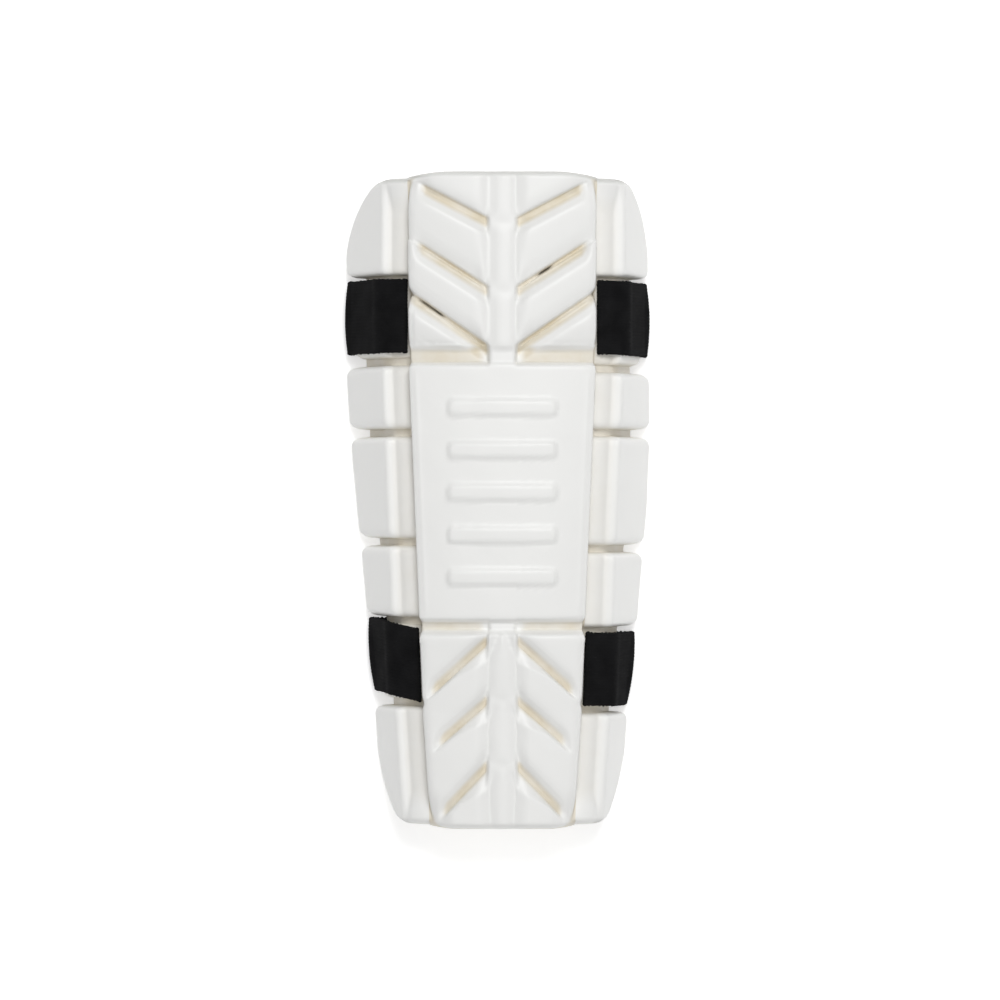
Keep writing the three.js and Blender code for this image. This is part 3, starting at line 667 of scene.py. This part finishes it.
# The inner face's columns over a wing, as shares of its width, and how many follow over the roof
inner_share = np.array([1, 0.86, 0.62, 0.31, 0])
inner_count = 8


def shell_side(side):
    """One side of every ring: the outer face from beside the centre line to the rim, with its shares,
    the turn round the rim, and the inner face from the rim back to beside the centre line."""
    spine_y, wing_y, straight = ring_rows(side)
    roof = section(wing_y, side)[0]
    rim = rim_at(wing_y, side)
    t = columns_at(roof, rim)
    y = bent_y(t, spine_y, wing_y, straight, roof, side)
    height, shares = relief(side * t, y, side)
    turn = [place(side * (rim - inset), wing_y, height[:, -1] * share) for inset, share in rim_turn]
    inner_t = roof[:, None] + 2 + (rim - roof - 2.4)[:, None] * inner_share
    steps = np.linspace(1, 0, inner_count + 1)[None, :-1]
    inner_t = np.concatenate([inner_t, np.minimum(roof[:, None], rim[:, None] - 2) * steps], 1)
    inner_y = bent_y(inner_t, spine_y, wing_y, straight, roof, side)
    return {"outer": place(side * t, y, height), "shares": shares, "turn": np.stack(turn, 1),
            "inner": place(side * inner_t, inner_y, 0), "spine_y": spine_y}


def loft(rings):
    """Quads between rings of equal count, each ring closed on itself."""
    rows, count = rings.shape[:2]
    index = np.arange(rows * count).reshape(rows, count)
    across = np.roll(index, -1, 1)
    return np.stack([index[:-1], across[:-1], across[1:], index[1:]], -1).reshape(-1, 4)


def end_cap(outer, inner, flip):
    """Triangles between the outer and the inner half of an end ring, which have different counts: each
    outer point joins the inner point at the same share of the way."""
    j = np.round(np.linspace(0, len(inner) - 1, len(outer))).astype(int)
    first = np.stack([outer[:-1], outer[1:], inner[j[:-1]]], -1)
    moved = j[1:] > j[:-1]
    second = np.stack([outer[1:], inner[j[1:]], inner[j[:-1]]], -1)[moved]
    triangles = np.concatenate([first, second])
    return triangles[:, ::-1] if flip else triangles


def add_object(name, data):
    """Puts a mesh, a camera or a light into the scene."""
    item = bpy.data.objects.new(name, data)
    bpy.context.scene.collection.objects.link(item)
    return item


def fill_mesh(name, points, faces, extra=()):
    """A mesh object from arrays in millimetres: smooth quads, and perhaps flat faces that close its
    ends. It is moved across, as the measured guard is, so that its box is centred over the origin."""
    points = points + np.array([middle_shift, 0, 0])
    mesh = bpy.data.meshes.new(name)
    lists = faces.tolist()
    for more in extra:
        lists += more.tolist()
    mesh.from_pydata((points * MM).tolist(), [], lists)
    mesh.validate()
    mesh.polygons.foreach_set("use_smooth", np.arange(len(mesh.polygons)) < len(faces))
    return add_object(name, mesh)


def add_share(piece, name, values):
    """Stores one number for each vertex, which a material can read by its name."""
    attribute = piece.data.attributes.new(name, "FLOAT", "POINT")
    attribute.data.foreach_set("value", np.ascontiguousarray(values, np.float32).reshape(-1))


def make_shell():
    """The foam shell: rings of the outer face, the turn round each rim, and the inner face."""
    right, left = shell_side(1), shell_side(-1)
    spine_y = right["spine_y"]
    rows = len(spine_y)
    top, centre_shares = relief(np.zeros(rows), spine_y, 1)
    rings = np.concatenate([
        left["turn"][:, ::-1], left["outer"][:, ::-1], place(0, spine_y, top)[:, None],
        right["outer"], right["turn"],
        right["inner"], place(0, spine_y, 0)[:, None], left["inner"][:, ::-1]], 1)
    rings[..., 2] = np.maximum(rings[..., 2], 0)
    # The turn round the rim gets the full painted edge shade, and the inner face a little of the
    # grooves' painted cream shade
    turn = np.tile([0.0, 0, 1], (rows, len(rim_turn), 1))
    outer = np.concatenate([
        turn, left["shares"][:, ::-1], centre_shares[:, None], right["shares"], turn], 1)
    count, split = rings.shape[1], outer.shape[1]
    shares = np.concatenate([outer, np.tile([0.35, 0, 0], (rows, count - split, 1))], 1)
    first = np.arange(count)
    last = first + (rows - 1) * count
    caps = [end_cap(ring[:split], ring[split:][::-1], flip)
            for ring, flip in ((first, False), (last, True))]
    piece = fill_mesh("moulded_foam", rings.reshape(-1, 3), loft(rings)[:, ::-1], caps)
    for k, name in enumerate(("painted_groove_shade", "slit", "painted_edge_shade")):
        add_share(piece, name, shares[..., k])
    return piece, rings.shape


shell, ring_shape = make_shell()
print("shell:", ring_shape, "triangles:", sum(len(p.vertices) - 2 for p in shell.data.polygons))
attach(shell, "root")
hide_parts("foam_shell")

# %% [markdown]
# ## The straps
# Each strap is one length of knitted elastic. Its rubber cords run along it, so it has fine ribs along
# its length, an uneven edge where the knit turns back, and no ribs across. It comes up through a slit
# beside the block, lies over a lowered pad, goes round the rim and laps over its own end underneath. A
# ribbon is a profile carried along a path, so the ribs can be real shape and not only shading.

# %% The path of a strap
strap_width = 30
strap_lap = 44
tab_thickness = 1.2
tab_margin = 2
slit_width = 4
slit_margin = 1
strap_path = {"lean": -1, "rise": 4, "flat": 5, "turn": 3, "belly": 1.3, "bow": 0.9, "tuck": 0.5,
              "land": 9, "step": 4}
upper_strap = {"at": 0.56, "left_rim": 0.5, "left_slit": 0.4, "right_slit": -0.2, "right_rim": -0.4}
lower_strap = {"at": -0.507, "left_rim": 4.6, "left_slit": 1, "right_slit": -0.7, "right_rim": -1.2}
wing_ridge = 2.4


def wing_run(strap, across, side):
    """The strap's middle line on one side, from under the roof through the slit and over the pad to
    below the rim: one point for each turn, for every place across the width at once."""
    hand = "right" if side > 0 else "left"
    ys = strap["at"] * half_length + across + strap[hand + "_slit"]
    yr = strap["at"] * half_length + across + strap[hand + "_rim"]
    lift = strap_thickness / 2 + strap_clearance
    diagonal = lift * math.sqrt(0.5)
    roof = section(ys, side)[0]
    slit = roof + (slit_width - block_margin) / 2
    mouth = slit - slit_width / 2
    ridge = section(yr, side)[0] + strap_foot + wing_ridge
    rim = section(yr, side)[5] - strap_recess
    rim_top = rim_thickness - strap_drop
    at = lambda u, y, h: place(side * u, y, h)

    def on_pad(u, share):
        y = ys + (yr - ys) * share
        return at(u, y, wing_height(u, y, side, strap_drop, strap_foot) + lift)

    under = at(rim, yr, 0)
    belly = strap_path["belly"] * (1 - (2 * across / strap_width) ** 2)
    floor = lambda inward: np.stack([
        under[..., 0] - side * inward, yr, np.full(yr.shape, strap_thickness / 2)], -1)
    return [
        at(roof / 2, ys, -lift),
        at(mouth - slit_margin, ys, -lift),
        at(mouth + diagonal, ys, -diagonal),
        at(mouth + lift, ys, 0),
        at(slit, ys, web),
        at(slit + strap_path["lean"], ys, web + strap_path["rise"]),
        on_pad(ridge, 0.65),
        on_pad(ridge + strap_path["flat"], 0.85),
        on_pad(rim - strap_path["turn"], 1),
        at(rim + diagonal, yr, rim_top + diagonal + belly),
        at(rim + lift + strap_path["bow"] + belly / 2, yr, rim_thickness / 2),
        floor(strap_path["tuck"]),
        floor(strap_path["land"]),
    ]


def strap_points(strap, across):
    """All the points that a strap's middle line goes through, from its lower end to its upper end."""
    across = np.asarray(across, float)
    centre = strap["at"] * half_length + across
    meet = centre + (strap["left_rim"] + strap["right_rim"]) / 2
    low = strap_thickness / 2
    high = low + strap_thickness + tab_thickness + 2 * strap_clearance
    lap = strap_lap / 2
    flat = lambda x, z: np.stack([np.full(across.shape, x), meet, np.full(across.shape, z)], -1)
    middle = place(0, centre + (strap["left_slit"] + strap["right_slit"]) / 2, -low - strap_clearance)
    left = wing_run(strap, across, -1)[::-1]
    right = wing_run(strap, across, 1)
    ends = [flat(lap + strap_path["step"], high), flat(0, high), flat(-lap, high)]
    return np.stack([flat(lap, low), flat(0, low), *left, middle, *right, *ends])


def smooth_path(knots, count):
    """A centripetal Catmull-Rom curve through the knots: between two of them a cubic whose slopes come
    from the neighbours, each gap weighted by the square root of its length. It also gives the slope."""
    before = 2 * knots[:1] - knots[1:2]
    after = 2 * knots[-1:] - knots[-2:-1]
    k = np.concatenate([before, knots, after])
    gap = np.sqrt(np.linalg.norm(np.diff(k, axis=0), axis=-1, keepdims=True))
    share = np.linspace(0, len(knots) - 1, count)
    i = np.minimum(share.astype(int), len(knots) - 2)
    w = (share - i)[:, None, None]
    p0, p1, p2, p3 = k[i], k[i + 1], k[i + 2], k[i + 3]
    d0, d1, d2 = gap[i], gap[i + 1], gap[i + 2]
    t1 = ((p1 - p0) / d0 - (p2 - p0) / (d0 + d1) + (p2 - p1) / d1) * d1
    t2 = ((p2 - p1) / d1 - (p3 - p1) / (d1 + d2) + (p3 - p2) / d2) * d1
    c2 = -3 * p1 + 3 * p2 - 2 * t1 - t2
    c3 = 2 * p1 - 2 * p2 + t1 + t2
    return p1 + t1 * w + c2 * w**2 + c3 * w**3, t1 + 2 * c2 * w + 3 * c3 * w**2


# %% A ribbed ribbon
rib_count = 22
rib_samples = 4
rib_relief = 0.2
path_steps = 540


def make_strap(name, strap, seed):
    """A ribbon: each ring is the strap's cross-section, a flat band whose two faces carry rounded ribs.
    The ribs are the absolute value of a sine across the width, and the edges wander by small sines."""
    half_ribs = rib_count * rib_samples
    v = np.linspace(-1, 1, half_ribs + 1)
    rows, slope = smooth_path(strap_points(strap, v * (strap_width / 2 - 0.1)), path_steps)
    rows[..., 2] = np.maximum(rows[..., 2], strap_thickness / 2)
    out = np.stack([-slope[..., 2], np.zeros(slope.shape[:2]), slope[..., 0]], -1)
    out /= np.linalg.norm(out, axis=-1, keepdims=True)
    step = np.linalg.norm(np.diff(rows[:, half_ribs // 2], axis=0), axis=-1)
    s = np.concatenate([[0], np.cumsum(step)])[:, None]
    rib = np.abs(np.sin(np.pi * rib_count * (v + 1) / 2))
    uneven = 0.75 + 0.25 * np.sin(s / 3.7 + 5 * v + seed) * np.sin(s / 1.9 - 11 * v)
    edge = np.minimum(1, (1 - np.abs(v)) / 0.03 + 0.35)
    half = (strap_thickness / 2 - rib_relief + rib_relief * rib * uneven) * edge
    fray = 0.24 * np.sin(s * 2 * np.pi / 1.6 + seed) + 0.12 * np.sin(s * 2 * np.pi / 2.3 + 2 * seed)
    rows[..., 1] += fray * np.sign(v) * smooth((np.abs(v) - 0.95) / 0.05)
    top = rows + out * half[..., None]
    bottom = rows - out * half[..., None]
    rings = np.concatenate([top, bottom[:, ::-1]], 1)
    rings[..., 2] = np.maximum(rings[..., 2], 0)
    count = rings.shape[1]
    cap = np.arange(half_ribs)
    first = np.stack([cap, cap + 1, count - 2 - cap, count - 1 - cap], -1)
    last = first[:, ::-1] + (len(rings) - 1) * count
    faces = np.concatenate([loft(rings)[:, ::-1], first, last])
    piece = fill_mesh(name, rings.reshape(-1, 3), faces)
    across = np.concatenate([v, v[::-1]])[None] * strap_width / 2
    add_share(piece, "along", np.repeat(s, count, 1))
    add_share(piece, "across", np.repeat(across, len(rings), 0))
    return piece


strap_pieces = [
    make_strap("elastic_strap_upper", upper_strap, 0.4),
    make_strap("elastic_strap_lower", lower_strap, 2.1),
]
for piece, node in zip(strap_pieces, ("strap_upper", "strap_lower")):
    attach(piece, "root")
    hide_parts(node)
    print(piece.name, "faces:", len(piece.data.polygons))

# %% [markdown]
# ## The fastening tabs
# Under the guard the ends of each strap lap, with a patch of hook tape between them. Hook tape is a
# flat woven tape with rows of tiny nylon hooks. It is only seen edge-on, so a thin rounded slab is
# enough.


# %% Rounded slabs
def make_tab(name, strap):
    """A rounded slab: rings of a superellipse in plan, each a little larger, then a little smaller."""
    length = strap_lap - 2 * tab_margin
    width = strap_width - 2 * tab_margin
    angle = np.linspace(0, 2 * math.pi, 96, endpoint=False)
    cos, sin = np.cos(angle), np.sin(angle)
    plan = np.stack([np.sign(cos) * np.abs(cos) ** 0.22, np.sign(sin) * np.abs(sin) ** 0.22], -1)
    inset = np.array([13, 8, 3, 0.5, 0.15, 0, 0, 0.15, 0.5, 3, 8, 13])
    height = np.array([0, 0, 0, 0, 0.1, 0.3, 0.7, 0.9, 1, 1, 1, 1]) * tab_thickness
    size = np.stack([length / 2 - inset, width / 2 - np.minimum(inset, 12.8)], -1)
    y = strap["at"] * half_length + (strap["left_rim"] + strap["right_rim"]) / 2
    base = strap_thickness + strap_clearance
    flat = plan[None] * size[:, None]
    z = np.repeat((base + height)[:, None], len(angle), 1)
    rings = np.stack([flat[..., 0], flat[..., 1] + y, z], -1)
    count = len(angle)
    first = np.arange(count)[None, ::-1]
    last = np.arange(count)[None] + (len(rings) - 1) * count
    return fill_mesh(name, rings.reshape(-1, 3), loft(rings), [first, last])


tab_pieces = [make_tab("hook_tape_upper", upper_strap), make_tab("hook_tape_lower", lower_strap)]
for piece, node in zip(tab_pieces, ("hook_tab_upper", "hook_tab_lower")):
    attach(piece, "root")
    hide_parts(node)

# %% [markdown]
# ## Finishes
# Three real materials: EVA foam with a pressed skin, knitted elastic, and woven nylon hook tape. Each
# gets a few nodes on its own coordinates, so that the pattern stays on the piece from any side.


# %% Node helpers
def colour(code):
    """A hex colour as the eye sees it, turned to linear light by the sRGB curve."""
    channel = np.array([int(code[i:i + 2], 16) / 255 for i in (1, 3, 5)])
    linear = np.where(channel <= 0.04045, channel / 12.92, ((channel + 0.055) / 1.055) ** 2.4)
    return (*linear.tolist(), 1)


def fill_inputs(material, node, inputs):
    """Fills a node's inputs. Each one is a value, or a socket to link from."""
    for key, value in inputs.items():
        if isinstance(value, bpy.types.NodeSocket):
            material.node_tree.links.new(value, node.inputs[key])
        else:
            node.inputs[key].default_value = value


def add_node(material, kind, inputs=None, **settings):
    """One node with its settings and its inputs."""
    node = material.node_tree.nodes.new("ShaderNode" + kind)
    for name, value in settings.items():
        setattr(node, name, value)
    fill_inputs(material, node, inputs or {})
    return node


def new_material(name):
    """An empty material with its shader and output, and the shader back for its inputs."""
    material = bpy.data.materials.new(name)
    material.use_nodes = True
    material.node_tree.nodes.clear()
    output = add_node(material, "OutputMaterial")
    shader = add_node(material, "BsdfPrincipled")
    material.node_tree.links.new(shader.outputs[0], output.inputs[0])
    return material, shader


def mix_colours(material, share, first, second):
    """Two colours mixed by a share. The node lists its sockets for numbers, vectors and colours under
    the same names, so the ones for colours are picked out by their kind."""
    node = add_node(material, "Mix", data_type="RGBA")
    keys = {socket.name: k for k, socket in enumerate(node.inputs) if socket.type == "RGBA"}
    fill_inputs(material, node, {"Factor": share, keys["A"]: first, keys["B"]: second})
    return [socket for socket in node.outputs if socket.type == "RGBA"][0]


def two_shades(material, share, stops):
    """A blend from one colour to another: for each, its place on the share and its hex code."""
    node = add_node(material, "ValToRGB", {"Fac": share})
    for element, (position, code) in zip(node.color_ramp.elements, stops):
        element.position = position
        element.color = colour(code)
    return node.outputs[0]


def noise(material, vector, scale, detail):
    """A cloudy pattern: its scale is how many cells it has to a metre, or to one of the vector's own."""
    return add_node(material, "TexNoise", {
        "Vector": vector, "Scale": scale, "Detail": detail}).outputs[0]


def read_share(material, name):
    """The number that a mesh stores for each vertex under a name."""
    return add_node(material, "Attribute", attribute_name=name).outputs["Fac"]


# %% Pressed EVA foam
def make_foam():
    """White EVA foam with a satin skin: a soft, broad highlight and a faint orange peel from the
    mould. The floors of the grooves get a painted cream shade, a band along the outline a painted grey
    shade, and the slits a painted dark shade inside."""
    material, shader = new_material("pressed_eva_foam")
    place_on = add_node(material, "TexCoord").outputs["Object"]
    # Patches about 9 mm wide, so that the painted cream shade is uneven along a groove
    uneven = add_node(material, "MapRange", {
        "Value": noise(material, place_on, 110, 3),
        "From Min": 0.3, "From Max": 0.7, "To Min": 0.6, "To Max": 1.0})
    painted_groove_shade = read_share(material, "painted_groove_shade")
    painted_cream_share = add_node(material, "Math", {0: painted_groove_shade, 1: uneven.outputs[0]},
                     operation="MULTIPLY")
    # Painted cream shade on the floors of the grooves, patchy along them
    skin = mix_colours(material, painted_cream_share.outputs[0], colour("#F3F3F1"), colour("#D9CEB6"))
    # Painted grey shade in a band along the outline
    skin = mix_colours(material, read_share(material, "painted_edge_shade"), skin, colour("#C6C6C2"))
    # Painted dark shade inside the slits
    skin = mix_colours(material, read_share(material, "slit"), skin, colour("#5A5145"))
    # Orange peel about 1.5 mm across, and the slow dents of soft foam about 12 mm across
    low = add_node(material, "Bump", {
        "Strength": 0.35, "Distance": 0.0006, "Height": noise(material, place_on, 85, 2)})
    fine = add_node(material, "Bump", {
        "Strength": 0.25, "Distance": 0.00008, "Height": noise(material, place_on, 650, 4),
        "Normal": low.outputs[0]})
    fill_inputs(material, shader, {
        "Base Color": skin, "Normal": fine.outputs[0], "Roughness": 0.42, "IOR": 1.48})
    return material


# %% Knitted elastic
def make_elastic():
    """Black polyester elastic: quite matt, with stitches along each rib that are finer than the mesh
    can show, and slow patches where its fuzz is worn or thick."""
    material, shader = new_material("knitted_elastic")
    on_strap = add_node(material, "CombineXYZ", {
        "X": read_share(material, "along"), "Y": read_share(material, "across")}).outputs[0]
    # Stitches: 1.1 mm along a rib, 0.6 mm across it
    squeeze = add_node(material, "Mapping", {"Vector": on_strap, "Scale": (0.9, 1.6, 1)})
    bump = add_node(material, "Bump", {
        "Strength": 0.5, "Distance": 0.0002, "Height": noise(material, squeeze.outputs[0], 1, 2)})
    fuzz = noise(material, on_strap, 0.12, 5)
    fill_inputs(material, shader, {
        "Base Color": two_shades(material, fuzz, [(0.35, "#131314"), (0.75, "#1C1C1D")]),
        "Normal": bump.outputs[0], "Roughness": 0.85, "Specular IOR Level": 0.05})
    return material


# %% Woven nylon hook tape
def make_hook_tape():
    """Black nylon hook tape: rows of hooks about 1.2 mm apart break up its highlight."""
    material, shader = new_material("nylon_hook_tape")
    place_on = add_node(material, "TexCoord").outputs["Object"]
    rows = add_node(material, "TexWave", {
        "Vector": place_on, "Scale": 130, "Distortion": 1.5})
    bump = add_node(material, "Bump", {
        "Strength": 0.6, "Distance": 0.0003, "Height": rows.outputs["Fac"]})
    speckle = add_node(material, "TexNoise", {"Vector": place_on, "Scale": 900})
    fill_inputs(material, shader, {
        "Base Color": two_shades(material, speckle.outputs[0], [(0, "#121213"), (1, "#26262A")]),
        "Normal": bump.outputs[0], "Roughness": 0.7})
    return material


shell.data.materials.append(make_foam())
elastic = make_elastic()
hook_tape = make_hook_tape()
for piece in strap_pieces:
    piece.data.materials.append(elastic)
for piece in tab_pieces:
    piece.data.materials.append(hook_tape)

# %% [markdown]
# ## The studio
# The guard was photographed from straight above on a white ground, in soft light with a little more of
# it from the elbow end, which brightens the bevels on that side of each bar. A weak light from the
# wrist end fills the shadows, and the ground glows a little, as a light table does, to stay white.


# %% Floor, camera and lights
def make_floor():
    """A pale sheet at the height the guard rests on, wide enough to fill every view."""
    size = 3
    points = np.array([[-size, -size, 0], [size, -size, 0], [size, size, 0], [-size, size, 0]]) / MM
    floor = fill_mesh("studio_floor", points, np.array([[0, 1, 2, 3]]))
    paper, shader = new_material("pale_paper")
    fill_inputs(paper, shader, {
        "Base Color": colour("#F8F8F8"), "Roughness": 0.9,
        "Emission Color": colour("#FFFFFF"), "Emission Strength": 0.4})
    floor.data.materials.append(paper)


def add_light(name, power, size, at):
    """A square soft box, turned so that its back axis points away from what it lights."""
    data = bpy.data.lights.new(name, "AREA")
    data.energy = power
    data.size = size
    light = add_object(name, data)
    back = np.array(at) - np.array([0, 0, 0.02])
    light.location = at
    light.rotation_euler = (math.atan2(math.hypot(back[0], back[1]), back[2]), 0,
                            math.atan2(back[0], -back[1]))


def add_camera():
    """A long lens straight above the guard, at the distance that gives the photograph's frame."""
    data = bpy.data.cameras.new("camera")
    data.sensor_width = 36
    data.lens = 157.8
    data.clip_start = 0.05
    data.clip_end = 20
    camera = add_object("camera", data)
    camera.location = (0.00078, 0.0004, 1.8)
    bpy.context.scene.camera = camera


make_floor()
add_camera()
add_light("key", 16.5, 0.7, (0.2, 0.95, 1.7))
add_light("above", 11.5, 1.6, (0.1, 0.2, 2.2))
add_light("fill", 6.5, 1.4, (0.1, -1.3, 1.4))
world = bpy.data.worlds.new("studio")
bpy.context.scene.world = world
world.use_nodes = True
fill_inputs(world, world.node_tree.nodes["Background"], {0: colour("#FFFFFF"), 1: 0.21})
bpy.context.scene.view_settings.view_transform = "Standard"
